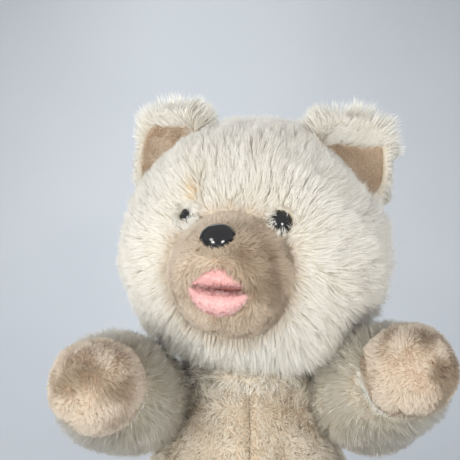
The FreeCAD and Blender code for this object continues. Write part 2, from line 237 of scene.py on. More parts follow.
def pile(name, roots, up, comb, length, width, seed, stand=30, lie=70, joints=3, stray=0.25,
         curl=0.0, turns=1.0, clump=0.4, tuft=14, short=0.35, soften=0.6, stain=0.0, fade=0.0):
    """Strands of plush as thin ribbons that narrow to a point.

    Each strand starts stand degrees from the surface's normal and ends lie degrees from it, leaning along
    comb. stray is how far its direction strays, curl how wide it coils and turns how often, clump how far
    its tip is drawn to its tuft's of tuft strands, and short how much shorter than length the shortest
    strands are. stain and fade say how far each strand takes its material's stained and faded colours;
    on the muzzle they carry painted shade and painted light.
    """
    random = np.random.default_rng(seed)
    count = len(roots)
    comb = np.broadcast_to(comb, roots.shape)
    sideways = unit(comb - (comb * up).sum(axis=1, keepdims=True) * up)
    sideways = sideways + random.normal(size=roots.shape) * stray
    sideways = unit(sideways - (sideways * up).sum(axis=1, keepdims=True) * up)
    length = np.broadcast_to(length, count) * (1 - short * random.random(count) ** 1.5)
    bend = random.normal(size=count) * stray * 40
    start = np.radians(np.clip(stand + bend, -30, 100))
    end = np.radians(np.clip(lie + bend + random.normal(size=count) * stray * 30, 0, 115))
    steps = np.linspace(0, 1, joints + 1)
    line = np.zeros((joints + 1, count, 3))
    for step in range(joints):
        angle = start + (end - start) * (steps[step] + steps[step + 1]) / 2
        ahead = up * np.cos(angle)[:, None] + sideways * np.sin(angle)[:, None]
        line[step + 1] = line[step] + ahead * (length / joints)[:, None]
    if curl:
        phase = random.uniform(0, 2 * math.pi, count)
        third = np.cross(up, sideways)
        for step in range(1, joints + 1):
            angle = phase + steps[step] * 2 * math.pi * turns
            wave = (np.cos(angle) - np.cos(phase))[:, None] * third
            wave += (np.sin(angle) - np.sin(phase))[:, None] * sideways
            line[step] += wave * (length * curl)[:, None]
    line += roots
    if clump:
        guides = random.choice(count, max(4, int(count / (tuft * PILE_SHARE))), replace=False)
        own = guides[nearest(roots, roots[guides])]
        draw = clump * random.uniform(0.4, 1.0, count)
        guided = line[:, own]
        for step in range(1, joints + 1):
            line[step] += (guided[step] - line[step]) * (draw * steps[step] ** 1.3)[:, None]
    width = width * random.uniform(0.7, 1.2, count) / math.sqrt(PILE_SHARE)
    return ribbons(name, line, up, width, random, soften, fade, stain)


def ribbons(name, line, up, width, random, soften, fade, stain):
    """One mesh of ribbons along the strands' lines.

    Its attribute strand holds the place along the strand, a random shade, how faded and how stained it is; on the
    muzzle the fade also holds painted light and the stain painted shade.
    """
    joints, count = len(line) - 1, line.shape[1]
    tangent = unit(line[1] - line[0] + (line[-1] - line[0]) * 0.5)
    side = np.cross(tangent, up)
    weak = np.linalg.norm(side, axis=1) < 0.05
    side[weak] = np.cross(tangent[weak], [0.3, 0.9, 0.2])
    side = unit(side)
    roll = random.normal(size=count) * 0.5
    side = side * np.cos(roll)[:, None] + np.cross(tangent, side) * np.sin(roll)[:, None]
    side *= (width / 2)[:, None]
    rows = []
    for step in range(joints):
        narrow = 1 - 0.55 * (step / joints) ** 2
        rows += [line[step] - side * narrow, line[step] + side * narrow]
    rows.append(line[joints])
    points = np.stack(rows, axis=1).reshape(-1, 3)
    size = 2 * joints + 1
    base = np.arange(count)[:, None] * size
    quad = np.array([0, 1, 3, 2])
    quads = np.concatenate([base + 2 * step + quad for step in range(joints - 1)], axis=1)
    tips = base + [2 * joints - 2, 2 * joints - 1, 2 * joints]
    loops = np.concatenate([quads, tips], axis=1).reshape(-1)
    sizes = np.tile([4] * (joints - 1) + [3], count)
    mesh = bpy.data.meshes.new(name)
    mesh.vertices.add(len(points))
    mesh.vertices.foreach_set("co", points.astype(np.float32).reshape(-1))
    mesh.loops.add(len(loops))
    mesh.loops.foreach_set("vertex_index", loops.astype(np.int32))
    mesh.polygons.add(len(sizes))
    mesh.polygons.foreach_set("loop_start", np.concatenate([[0], np.cumsum(sizes)[:-1]]).astype(np.int32))
    mesh.update(calc_edges=True)
    along = np.tile(np.concatenate([np.repeat(np.arange(joints) / joints, 2), [1.0]]), count)
    marks = [np.repeat(np.broadcast_to(mark, count), size) for mark in (random.random(count), fade, stain)]
    strand = np.column_stack([along, *marks])
    colours = mesh.attributes.new("strand", "FLOAT_COLOR", "POINT").data
    colours.foreach_set("color", strand.astype(np.float32).reshape(-1))
    if soften:
        face = np.cross(side, tangent)
        face *= np.sign((face * up).sum(axis=1, keepdims=True) + 1e-9)
        lit = unit(unit(face) * (1 - soften) + up * soften)
        lit = np.repeat(lit, size, axis=0).astype(np.float32)
        normals = mesh.attributes.new("custom_normal", "FLOAT_VECTOR", "POINT").data
        normals.foreach_set("vector", lit.reshape(-1))
    piece = bpy.data.objects.new(name, mesh)
    bpy.context.scene.collection.objects.link(piece)
    return piece


# ---- Materials --------------------------------------------------------------------------------
def new_material(name):
    """A material with an empty node tree, its output and a Principled shader."""
    material = bpy.data.materials.new(name)
    material.use_nodes = True
    tree = material.node_tree
    tree.nodes.clear()
    output = tree.nodes.new("ShaderNodeOutputMaterial")
    shader = tree.nodes.new("ShaderNodeBsdfPrincipled")
    tree.links.new(shader.outputs[0], output.inputs["Surface"])
    return material, tree, shader, output


def ramp(tree, factor, stops):
    """A colour ramp fed by factor, with (place, colour) stops."""
    node = tree.nodes.new("ShaderNodeValToRGB")
    elements = node.color_ramp.elements
    while len(elements) < len(stops):
        elements.new(0.5)
    for element, (place, colour) in zip(elements, stops):
        element.position = place
        element.color = (*colour, 1)
    tree.links.new(factor, node.inputs["Fac"])
    return node.outputs["Color"]


def math_node(tree, operation, *values):
    node = tree.nodes.new("ShaderNodeMath")
    node.operation = operation
    for socket, value in zip(node.inputs, values):
        if isinstance(value, (int, float)):
            socket.default_value = value
        else:
            tree.links.new(value, socket)
    return node.outputs[0]


def mix_colour(tree, factor, first, second):
    node = tree.nodes.new("ShaderNodeMix")
    node.data_type = "RGBA"
    for socket, value in ((node.inputs[0], factor), (node.inputs[6], first), (node.inputs[7], second)):
        if isinstance(value, (int, float)):
            socket.default_value = value
        elif isinstance(value, tuple):
            socket.default_value = (*value, 1)
        else:
            tree.links.new(value, socket)
    return node.outputs[2]


def noise_node(tree, scale, detail, roughness=0.5):
    place = tree.nodes.new("ShaderNodeTexCoord")
    node = tree.nodes.new("ShaderNodeTexNoise")
    node.inputs["Scale"].default_value = scale
    node.inputs["Detail"].default_value = detail
    node.inputs["Roughness"].default_value = roughness
    tree.links.new(place.outputs["Object"], node.inputs["Vector"])
    return node.outputs["Fac"]


def raise_surface(tree, shader, height, strength, distance):
    """A shader's fine relief."""
    bump = tree.nodes.new("ShaderNodeBump")
    bump.inputs["Strength"].default_value = strength
    bump.inputs["Distance"].default_value = distance
    tree.links.new(height, bump.inputs["Height"])
    tree.links.new(bump.outputs["Normal"], shader.inputs["Normal"])


def pile_material(name, root, tip, stray, faded, stained):
    """Plush fibre: darker at its root, each strand a little different, with light coming through it."""
    material, tree, shader, output = new_material(name)
    strand = tree.nodes.new("ShaderNodeAttribute")
    strand.attribute_name = "strand"
    parts = tree.nodes.new("ShaderNodeSeparateColor")
    tree.links.new(strand.outputs["Color"], parts.inputs[0])
    along = ramp(tree, parts.outputs[0], [(0.0, root), (0.6, tip), (1.0, tip)])
    patches = math_node(tree, "MULTIPLY", noise_node(tree, 45, 2), 0.9)
    shade = math_node(tree, "ADD", math_node(tree, "MULTIPLY", parts.outputs[1], 0.6), patches)
    colour = mix_colour(tree, math_node(tree, "SUBTRACT", shade, 0.45), along, stray)
    # The faded and stained mixes also carry the muzzle's painted light and painted shade.
    colour = mix_colour(tree, parts.outputs[2], colour, faded)
    colour = mix_colour(tree, strand.outputs["Alpha"], colour, stained)
    tree.links.new(colour, shader.inputs["Base Color"])
    shader.inputs["Roughness"].default_value = 0.75
    shader.inputs["Specular IOR Level"].default_value = 0.25
    shader.inputs["Sheen Weight"].default_value = 0.15
    shader.inputs["Sheen Roughness"].default_value = 0.5
    glow = tree.nodes.new("ShaderNodeBsdfTranslucent")
    tree.links.new(colour, glow.inputs["Color"])
    both = tree.nodes.new("ShaderNodeMixShader")
    both.inputs[0].default_value = LIGHT_THROUGH
    tree.links.new(shader.outputs[0], both.inputs[1])
    tree.links.new(glow.outputs[0], both.inputs[2])
    tree.links.new(both.outputs[0], output.inputs["Surface"])
    return material


def cloth_material(name, dark, light, weave=2600, depth=0.15, roughness=0.95):
    """Woven backing cloth, with a fine thread pattern and faint soiling."""
    material, tree, shader, _ = new_material(name)
    soil = noise_node(tree, 60, 4)
    threads = noise_node(tree, weave, 2)
    soil_share = math_node(tree, "MULTIPLY", soil, 0.6)
    tone = math_node(tree, "ADD", soil_share, math_node(tree, "MULTIPLY", threads, 0.4))
    tree.links.new(ramp(tree, tone, [(0.3, dark), (0.7, light)]), shader.inputs["Base Color"])
    raise_surface(tree, shader, threads, depth, 0.3 * MM)
    shader.inputs["Roughness"].default_value = roughness
    shader.inputs["Sheen Weight"].default_value = 0.2
    return material


def plastic_material(name, colour, roughness, coat=0.0):
    """Moulded plastic with faint scuffs in its polish."""
    material, tree, shader, _ = new_material(name)
    shader.inputs["Base Color"].default_value = (*colour, 1)
    shader.inputs["Coat Weight"].default_value = coat
    shader.inputs["Coat Roughness"].default_value = 0.04
    marks = noise_node(tree, 700, 5, 0.65)
    scuffed = math_node(tree, "ADD", math_node(tree, "MULTIPLY", marks, 2 * SCUFFS), roughness - SCUFFS)
    tree.links.new(scuffed, shader.inputs["Roughness"])
    raise_surface(tree, shader, marks, 0.04, 0.1 * MM)
    return material


CREAM = pile_material("cream_long_pile", root=(0.80, 0.74, 0.63), tip=(0.93, 0.92, 0.88),
                      stray=(0.85, 0.81, 0.71), faded=(0.74, 0.63, 0.50), stained=(0.80, 0.58, 0.27))
CHEST = pile_material("cream_short_pile", root=(0.70, 0.62, 0.50), tip=(0.90, 0.85, 0.75),
                      stray=(0.76, 0.68, 0.55), faded=(0.87, 0.84, 0.77), stained=(0.45, 0.32, 0.18))
# TAN's faded colour is also the muzzle's painted light, and its stained colour the muzzle's painted shade.
TAN = pile_material("tan_short_pile", root=(0.42, 0.32, 0.22), tip=(0.73, 0.62, 0.49),
                    stray=(0.56, 0.44, 0.32), faded=(0.84, 0.76, 0.65), stained=(0.25, 0.18, 0.11))
PINK = pile_material("pink_pile", root=(0.75, 0.40, 0.38), tip=(0.96, 0.74, 0.73),
                     stray=(0.92, 0.66, 0.65), faded=(0.97, 0.86, 0.82), stained=(0.58, 0.34, 0.31))
CREAM_BACKING = cloth_material("cream_backing", (0.66, 0.56, 0.43), (0.80, 0.72, 0.60))
CHEST_BACKING = cloth_material("chest_backing", (0.50, 0.39, 0.28), (0.66, 0.55, 0.42))
TAN_BACKING = cloth_material("tan_backing", (0.36, 0.25, 0.16), (0.52, 0.38, 0.27))
PINK_BACKING = cloth_material("pink_backing", (0.78, 0.42, 0.40), (0.92, 0.60, 0.58))
DARK_CLOTH = cloth_material("mouth_fold", (0.34, 0.08, 0.06), (0.48, 0.13, 0.10))
LINING = cloth_material("lining_cloth", (0.50, 0.45, 0.37), (0.66, 0.61, 0.52), weave=3200)
FILL = cloth_material("polyester_fill", (0.78, 0.78, 0.76), (0.9, 0.9, 0.88), weave=900, depth=0.8)
RIBBON = cloth_material("satin_ribbon", (0.72, 0.71, 0.68), (0.84, 0.83, 0.80), weave=3600, roughness=0.5)
BLACK = plastic_material("glossy_black", (0.004, 0.004, 0.005), 0.12, coat=0.3)
WHITE_PLASTIC = plastic_material("white_plastic", (0.72, 0.72, 0.68), 0.45)
THREAD = cloth_material("sewing_thread", (0.45, 0.34, 0.24), (0.6, 0.48, 0.36), weave=4000)
PLUSH = {"cream_long_pile": (CREAM_BACKING, CREAM), "cream_short_pile": (CHEST_BACKING, CHEST),
         "tan_short_pile": (TAN_BACKING, TAN), "pink_pile": (PINK_BACKING, PINK)}


# ---- Ready-made steps for pieces ----------------------------------------------------------------
def dress(piece, material):
    piece.data.materials.clear()
    piece.data.materials.append(material)
    return piece


def dress_plush(slot, skins, furs):
    """Gives a plush's backing cloth to the skins and its fibre to the strands on them."""
    for material, pieces in zip(PLUSH[slot], (skins, furs)):
        for piece in pieces:
            dress(piece, material)


def ride(body, *pieces):
    for piece in pieces:
        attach(piece, body)


def polar_skin(name, rows, frame_axes, around=96, outline=None):
    """A surface of rows (radius, height) round an axis. frame_axes is its origin, side axes and axis."""
    origin, first, second, axis = frame_axes
    turn = np.arange(around) / around * 2 * math.pi
    reach = np.ones(around) if outline is None else outline(turn)
    points = []
    for radius, height in rows:
        round_it = np.outer(np.cos(turn) * reach * radius, first)
        round_it += np.outer(np.sin(turn) * reach * radius, second)
        points.append(origin + round_it + height * np.asarray(axis))
    piece = new_mesh(name, np.concatenate(points), tube_grid(around, len(rows)))
    weld(piece)
    return piece


def arc(across, along, angles, middle=0.0):
    """Rows (radius, height) of a ball's outline at angles from its pole."""
    return [(across * math.sin(angle), middle + along * math.cos(angle)) for angle in angles]


def weld(piece, distance=0.01 * MM):
    """Joins the points that lie on each other, as at a pole, and turns all faces outward."""
    made = bmesh.new()
    made.from_mesh(piece.data)
    bmesh.ops.remove_doubles(made, verts=made.verts, dist=distance)
    bmesh.ops.recalc_face_normals(made, faces=made.faces)
    made.to_mesh(piece.data)
    made.free()


def move_points(piece, points):
    piece.data.vertices.foreach_set("co", np.asarray(points, np.float32).reshape(-1))
    piece.data.update()


def keep_faces(piece, kept):
    """Keeps the faces whose middle passes the test kept."""
    made = bmesh.new()
    made.from_mesh(piece.data)
    middles = np.array([face.calc_center_median() for face in made.faces])
    gone = [face for face, stays in zip(list(made.faces), kept(middles)) if not stays]
    bmesh.ops.delete(made, geom=gone, context="FACES")
    made.to_mesh(piece.data)
    made.free()


def thicken(piece, thickness):
    """Gives a skin its cloth thickness, inward, so that its cut edges show."""
    modifier = piece.modifiers.new("cloth", "SOLIDIFY")
    modifier.thickness = thickness
    modifier.offset = -1
    bpy.context.view_layer.update()
    solid = bpy.data.meshes.new_from_object(piece.evaluated_get(bpy.context.evaluated_depsgraph_get()))
    piece.modifiers.clear()
    piece.data = solid
    return piece


# ---- Head ---------------------------------------------------------------------------------------
def head_surface(ways):
    """The head's outside in the given directions: a ball squared off a little, narrower at its top."""
    squared = (np.abs(ways) ** HEAD_SQUARENESS).sum(axis=1, keepdims=True) ** (1 / HEAD_SQUARENESS)
    points = ways / squared * HEAD_SIZE
    points[:, 0] *= 1 - 0.08 * smooth(0, 45 * MM, points[:, 2])
    points[:, 0] *= 1 + 0.03 * smooth(25 * MM, 0, np.abs(points[:, 2] + 12 * MM))
    seam = np.abs(np.abs(points[:, 0]) - GUSSET_HALF)
    front_top = smooth(0, 15 * MM, points[:, 2]) * smooth(10 * MM, -5 * MM, points[:, 1])
    dip = 0.9 * MM * np.exp(-(seam / (3 * MM)) ** 2) * front_top
    for side in (-1, 1):
        socket = points - eye_seat(side)
        dip += 2.2 * MM * np.exp(-(socket ** 2).sum(axis=1) / (11 * MM) ** 2)
    return points - ways * dip[:, None]


def eye_seat(side):
    across, up = EYE_AT
    depth = HEAD_SIZE[1] * math.sqrt(1 - (across / HEAD_SIZE[0]) ** 2 - (up / HEAD_SIZE[2]) ** 2)
    return np.array([side * across, -depth, up])


def past_muzzle(points, margin=0.0):
    """How far points lie outside the muzzle, in muzzle sizes: 1 on its face."""
    return np.linalg.norm((points - MUZZLE_MIDDLE) / (MUZZLE_SIZE + margin), axis=1)


def build_head():
    ways, faces = sphere_grid(6)
    points = head_surface(ways)
    points += ways * waves(SEED, 50, points)[:, None] * 0.8 * MM
    skin = new_mesh("head_skin", from_head(points), faces)

    def outside(middles):
        own = to_head(middles)
        in_neck = (np.hypot(own[:, 0], own[:, 1]) < NECK_HOLE) & (own[:, 2] < 0)
        return ~in_neck

    keep_faces(skin, outside)
    roots, up = scatter(skin, 3.4, SEED + 1, lambda p: smooth(0.98, 1.06, past_muzzle(to_head(p))))
    thicken(skin, 2.6 * MM)
    dress(skin, CREAM_BACKING)
    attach(skin, "head")
    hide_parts("head_back_panel", "head_gusset", "head_left_panel", "head_right_panel")
    cover_head(roots, up)


def cover_head(roots, up):
    """The head's long pile: combed away from the face, short round the muzzle and eyes, long at the chin."""
    own = to_head(roots)
    comb = own - MUZZLE_MIDDLE + [0, 20 * MM, 0]
    comb = unit(comb)
    comb[:, 2] -= 0.7 * smooth(-5 * MM, -45 * MM, own[:, 2])
    comb[:, 2] += 0.4 * smooth(10 * MM, 50 * MM, own[:, 2])
    seam = own[:, 0] - np.sign(own[:, 0]) * GUSSET_HALF
    on_top = smooth(5 * MM, 20 * MM, own[:, 2]) * smooth(5 * MM, -10 * MM, own[:, 1])
    comb[:, 0] += (0.4 - 0.4 * np.sign(own[:, 0])) * np.sign(seam) * np.exp(-(seam / (5 * MM)) ** 2) * on_top
    at_back = smooth(5 * MM, 45 * MM, own[:, 1])[:, None]
    comb = comb * (1 - at_back) + np.array([0, 0.2, -1.0]) * at_back
    comb += 0.35 * waves(SEED + 2, 30, own, 3) + 0.3 * waves(SEED + 5, 11, own, 3)
    from_muzzle = (past_muzzle(own) - 1) * 31 * MM
    at_border = smooth(6 * MM, 0, from_muzzle)
    comb += at_border[:, None] * 1.2 * waves(SEED + 6, 7, own, 3)
    length = 12.5 * MM * (0.6 + 0.4 * smooth(2 * MM, 22 * MM, from_muzzle))
    length *= 1 - 0.25 * smooth(20 * MM, 45 * MM, own[:, 2]) * smooth(0, -30 * MM, own[:, 1])
    length *= 1 + 0.35 * smooth(-25 * MM, -50 * MM, own[:, 2])
    length *= 1 + 0.22 * smooth(0, 60 * MM, own[:, 0]) - 0.38 * smooth(-10 * MM, -60 * MM, own[:, 0])
    length *= 1 + 0.14 * waves(SEED + 3, 18, own) + 0.10 * waves(SEED + 7, 8, own)
    from_eye = np.minimum(*[np.linalg.norm(own - eye_seat(side), axis=1) for side in (-1, 1)])
    length *= 0.7 + 0.3 * smooth(5 * MM, 16 * MM, from_eye)
    from_ear = np.minimum(*[np.linalg.norm(own - EAR_AT * [side, 1, 1], axis=1) for side in (-1, 1)])
    length *= 0.4 + 0.6 * smooth(24 * MM, 36 * MM, from_ear)
    stain = 0.5 * np.exp(-(np.linalg.norm((own - STAIN_AT) / [1.9, 8, 4.5], axis=1) / MM) ** 2)
    stain *= 1 + 0.6 * waves(SEED + 4, 3, own)
    comb, kept = comb @ HEAD_TURN.T, from_eye > EYE_RADIUS * np.where(own[:, 0] > 0, 1.0, 0.5)
    kept &= (own[:, 1] < -25 * MM) | (np.arange(len(own)) % 4 > 0)
    in_front, on_left, above = own[:, 1] < -25 * MM, own[:, 0] > 0, own[:, 2] > 0
    parts = {"brow": in_front & above, "cheeks": in_front & ~above,
             "left_crown": ~in_front & on_left & above, "left_nape": ~in_front & on_left & ~above,
             "right_crown": ~in_front & ~on_left & above, "right_nape": ~in_front & ~on_left & ~above}
    for number, (name, part) in enumerate(parts.items()):
        chosen = part & kept
        fur = pile("head_pile_" + name, roots[chosen], up[chosen], comb[chosen], length[chosen], 0.24 * MM,
                   SEED + 10 + number, stand=18, lie=60 - 38 * at_border[chosen], clump=0.5, tuft=40,
                   short=0.3, soften=0.68, stain=np.clip(stain[chosen], 0, 1), fade=0.55 * at_border[chosen])
        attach(dress(fur, CREAM), "head")


# ---- Muzzle, chin and mouth ---------------------------------------------------------------------
def muzzle_depth(across, high):
    """The muzzle's face at a place across and above its middle's height, as its Y."""
    inside = 1 - (across / MUZZLE_SIZE[0]) ** 2 - ((high - MUZZLE_MIDDLE[2]) / MUZZLE_SIZE[2]) ** 2
    return MUZZLE_MIDDLE[1] - MUZZLE_SIZE[1] * np.sqrt(np.maximum(inside, 0))


def lip_outline(share, upper):
    """How far above or below the corners the mouth's edge lies, at a share of its half width."""
    if upper:
        return LIP_UP * (1 - np.abs(share) ** 1.35)
    return -LIP_DOWN * (1 - np.abs(share) ** 2.4) ** 0.9


def muzzle_half(name, upper):
    """Plush round one half of the mouth: from the mouth's edge out and back into the head."""
    columns, rows = 90, 44
    sense = 1 if upper else -1
    turn = np.linspace(0, math.pi, columns + 1)
    share = np.cos(turn)
    edge = np.stack([MOUTH_HALF_WIDTH * share, lip_outline(share, upper)], axis=1) / MUZZLE_SIZE[0]
    edge_reach = np.linalg.norm(edge, axis=1)
    edge_turn = np.arctan2(np.abs(edge[:, 1]), edge[:, 0])
    level = (FOLD[2] - MUZZLE_MIDDLE[2]) / MUZZLE_SIZE[2]
    front = np.array([0, -math.sqrt(1 - level ** 2), level])
    above = np.cross([1, 0, 0], front) * -1
    points = []
    for row in range(rows + 1):
        part = max(row - 1, 0) / (rows - 1)
        reach = edge_reach + (math.radians(112) - edge_reach) * part ** 1.15
        bend = edge_turn + (turn - edge_turn) * math.sqrt(part)
        side = np.outer(np.cos(bend), [1, 0, 0]) + np.outer(np.sin(bend) * sense, above)
        way = np.cos(reach)[:, None] * front + np.sin(reach)[:, None] * side
        place = MUZZLE_MIDDLE + way * MUZZLE_SIZE
        swell = np.exp(-((reach - edge_reach) / 0.22 - 1) ** 2)
        proud = (0.7 * waves(SEED + 30, 26, place) + 1.2 * swell) * MM
        proud -= 3.0 * MM if row == 0 else 0.9 * MM * (part < 0.02)
        points.append(place + way * proud[:, None])
    points = from_head(np.concatenate(points))
    faces = tube_grid(columns + 1, rows + 1, closed=False)
    if not upper:
        faces = [face[::-1] for face in faces]
    piece = new_mesh(name, points, faces)
    weld(piece)
    outward = triangles_of(piece)
    if ((outward[0].mean(axis=1) - from_head(MUZZLE_MIDDLE)) * outward[1].mean(axis=1)).sum() < 0:
        piece.data.flip_normals()
    return piece


def hang_mouth(upper, *pieces):
    """Pieces above the mouth ride on the head. Those below the fold are baked in place and attached to no body
    here; they are meant to turn with the jaw.
    """
    if upper:
        ride("head", *pieces)
        return
    for piece in pieces:
        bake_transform(piece)


def build_muzzle():
    for name, upper in (("muzzle", True), ("chin", False)):
        skin = muzzle_half(name + "_skin", upper)
        fur = cover_muzzle(name + "_pile", upper, skin)
        thicken(skin, 2.0 * MM)
        dress_plush("tan_short_pile", [skin], [fur])
        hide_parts(name + "_panel")
        hang_mouth(upper, skin, fur)


def cover_muzzle(name, upper, skin):
    """The muzzle's short pile: smooth at its upper left and rough at its lower right, with painted light at its
    upper left and painted shade at its lower right.
    """
    nose_point = nose_axes()[0]

    def shown(points):
        own = to_head(points)
        from_nose = np.linalg.norm(points - nose_point, axis=1)
        return (np.linalg.norm(own / HEAD_SIZE, axis=1) > 0.93) & (from_nose > 6.4 * MM)

    roots, up = scatter(skin, 6.0, SEED + 40 + upper, shown)
    own = to_head(roots)
    from_middle = np.linalg.norm(own / HEAD_SIZE, axis=1)
    # rough marks the rough pile at the lower right, and also how much painted shade it takes
    if upper:
        rough = smooth(-6 * MM, 12 * MM, own[:, 0] - 0.3 * own[:, 2])
    else:
        rough = 0.1 + 0.75 * smooth(-8 * MM, 14 * MM, own[:, 0])
    below = np.linalg.norm(own - to_head(nose_point) + [0, 0, 8 * MM], axis=1)
    below_nose = np.exp(-(below / (6 * MM)) ** 2)
    from_mouth = np.hypot(own[:, 0] / MOUTH_HALF_WIDTH, (own[:, 2] - FOLD[2]) / LIP_DOWN) - 1
    at_corners = smooth(0.35, 0.05, from_mouth) * smooth(6 * MM, 13 * MM, np.abs(own[:, 0]))
    comb = unit(own - (FOLD + [0, -20 * MM, 22 * MM])) + [0.35, 0.15, -0.35]
    comb = comb + 0.9 * waves(SEED + 42, 16, own, 3)
    comb += below_nose[:, None] * [0, -0.5, 3.5]
    comb -= 2.0 * at_corners[:, None] * unit(own - FOLD)
    length = (2.2 + 2.6 * rough) * MM
    length += 4.0 * MM * below_nose
    length += 1.5 * MM * at_corners
    length *= 1 + 0.5 * smooth(0.02, 0.0, from_middle - 0.98)
    # Painted shade: the rough lower right is drawn darker, in patches.
    dark = 0.6 * rough * smooth(-0.3, 0.7, waves(SEED + 43, 20, own))
    at_border = smooth(1.2, 1.0, from_middle)
    # pale blends the border toward the head's colour and paints light on the smooth upper left.
    pale = np.clip(at_border * (1 - 0.4 * rough) + 0.55 * (1 - rough), 0, 1)
    # Here stain carries the painted shade, and fade carries the painted light and the border blend.
    return pile(name, roots, up, comb @ HEAD_TURN.T, length, 0.2 * MM, SEED + 44 + upper, stand=22, lie=58,
                clump=0.62, tuft=16, stray=0.35, stain=dark, fade=pale)


def lip_half(name, upper):
    """A plump lip from the mouth's edge to the slit, rolling in and back to the fold."""
    columns, rows, inner_rows = 60, 18, 14
    share = np.linspace(-1, 1, columns + 1)
    plump = (1 - np.abs(share) ** 3) ** 0.7
    edge = FOLD[2] + lip_outline(share, upper) * 1.06
    sense = 1 if upper else -1
    gap = (0.5 + 0.9 * smooth(-0.9, 0.7, share)) * MM * (1 - np.abs(share) ** 4)
    slit = FOLD[2] + 1.2 * MM * (share ** 2 - 0.3) + sense * gap
    points = []
    for row in range(rows + 1):
        part = row / rows
        high = edge + (slit - edge) * part
        across = MOUTH_HALF_WIDTH * share * (0.9 if upper else 0.96)
        depth = muzzle_depth(across, high) + 2.4 * MM
        crown = math.sin(math.pi * min(part, 1) ** 0.85) ** 0.7
        full = 3.6 * MM if upper else 6.8 * MM
        depth = depth - crown * full * plump + smooth(0.8, 1, part) * 1.5 * MM
        points.append(np.stack([across, depth, high], axis=1))
    last = points[-1]
    back = FOLD + [0, -2 * MM, sense * 0.5 * MM]
    for row in range(1, inner_rows + 1):
        part = row / inner_rows
        place = last + (np.array([0, back[1], back[2]]) - last) * [0, part, part]
        place[:, 2] += sense * math.sin(math.pi * part) * 2.0 * MM * plump
        points.append(place)
    piece = new_mesh(name, from_head(np.concatenate(points)),
                     tube_grid(columns + 1, rows + inner_rows + 1, closed=False))
    bumps = waves(SEED + 50, 5, points_of(piece))
    move_points(piece, points_of(piece) + (HEAD_TURN @ [0, -1, 0]) * bumps[:, None] * 0.25 * MM)
    corners, normals = triangles_of(piece)
    outer = normals[: len(normals) // 2].mean(axis=(0, 1))
    if outer @ (HEAD_TURN @ [0, -1, 0]) < 0:
        piece.data.flip_normals()
    return piece


def build_mouth():
    for place, upper in (("upper", True), ("lower", False)):
        lip = lip_half(place + "_lip", upper)
        roots, up = scatter(lip, 6.0, SEED + 60 + upper)
        comb = (to_head(roots) - FOLD) * [1, 0, 1] + 0.02 * waves(SEED + 62, 6, roots, 3)
        # The upper lip is drawn in a darker pink than the lower.
        nap = pile(place + "_lip_pile", roots, up, comb @ HEAD_TURN.T, 1.6 * MM, 0.2 * MM, SEED + 64 + upper,
                   stand=15, lie=60, clump=0.7, tuft=14, stray=0.6, stain=0.55 if upper else 0.06)
        dress_plush("pink_pile", [lip], [nap])
        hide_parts(place + "_mouth_lining")
        hang_mouth(upper, lip, nap)
    points, faces = sphere_grid(4)
    points = FOLD + [0, -9 * MM, 0] + points * np.array([14, 8, 2.2]) * MM
    liner = new_mesh("mouth_fold_liner", from_head(points), faces)
    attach(dress(liner, DARK_CLOTH), "head")


# ---- Nose and eyes ------------------------------------------------------------------------------
def nose_axes():
    """The nose's seat on the muzzle, its side axes and the way it looks, in the puppet's frame."""
    out = np.array([0, -math.cos(NOSE_PITCH), math.sin(NOSE_PITCH)])
    reach = 1 / np.linalg.norm(out / MUZZLE_SIZE)
    up = np.cross([1, 0, 0], out) * -1
    first = np.array([1.0, 0, 0]) * math.cos(NOSE_ROLL) + up * math.sin(NOSE_ROLL)
    seat = MUZZLE_MIDDLE + out * reach + [NOSE_ASIDE, 0, 0]
    return [from_head(seat)] + [HEAD_TURN @ axis for axis in (first, np.cross(out, first), out)]


def build_nose():
    wide, high, deep = NOSE_SIZE

    def outline(turn):
        side, top = np.cos(turn), np.sin(turn)
        oval = (high / wide) / np.sqrt((side * high / wide) ** 2 + top ** 2)
        return oval * (1 - 0.10 * side ** 2 * (top < 0))

    rows = [(0, deep)]
    for part in np.linspace(0.08, 1, 20):
        rows.append((wide * math.sin(part * math.pi / 2), deep * math.cos(part * math.pi / 2) ** 0.85))
    rows += [(wide * 0.98, -0.8 * MM), (wide * 0.85, -1.6 * MM), (0, -1.8 * MM)]
    seat, first, second, out = nose_axes()
    nose = polar_skin("nose_cap", rows, (seat + out * 0.6 * MM, first, second, out), outline=outline)
    dress(nose, BLACK)
    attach(nose, "head")
    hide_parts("nose")
    random = np.random.default_rng(SEED + 68)
    turn = np.radians(random.uniform(205, 335, int(420 * PILE_SHARE)))
    round_it = np.outer(np.cos(turn) * wide, first) + np.outer(np.sin(turn) * high, second)
    roots = seat + round_it * random.uniform(1.1, 1.6, len(turn))[:, None]
    roots += out * random.uniform(0.0, 1.5, len(turn))[:, None] * MM
    comb = -unit(round_it) + random.normal(size=roots.shape) * 0.5
    up = np.broadcast_to(out, roots.shape)
    tufts = pile("nose_edge_pile", roots, up, comb, 4.6 * MM, 0.22 * MM, SEED + 69, stand=0, lie=62,
                 clump=0.6, tuft=9)
    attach(dress(tufts, TAN), "head")


def build_eyes():
    for name, side in (("left", 1), ("right", -1)):
        seat = eye_seat(side)
        out = unit(seat / HEAD_SIZE ** 2)
        first = unit(np.cross([0, 0, 1], out))
        axes = [HEAD_TURN @ axis for axis in (first, np.cross(out, first), out)]
        rows = [(0, EYE_RADIUS * 0.95)]
        rows += arc(EYE_RADIUS, EYE_RADIUS * 0.95, np.linspace(0.08, 1, 18) * math.pi / 2)
        rows += [(EYE_RADIUS * 0.92, -0.8 * MM), (0, -1.0 * MM)]
        middle = from_head(seat - out * EYE_SUNK[side])
        eye = polar_skin(name + "_eye_button", rows, (middle, *axes), around=64)
        build_lashes(name, middle, axes, EYE_LASHES[side], SEED + 66 + side)
        dress(eye, BLACK)
        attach(eye, "head")
        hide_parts(name + "_eye")


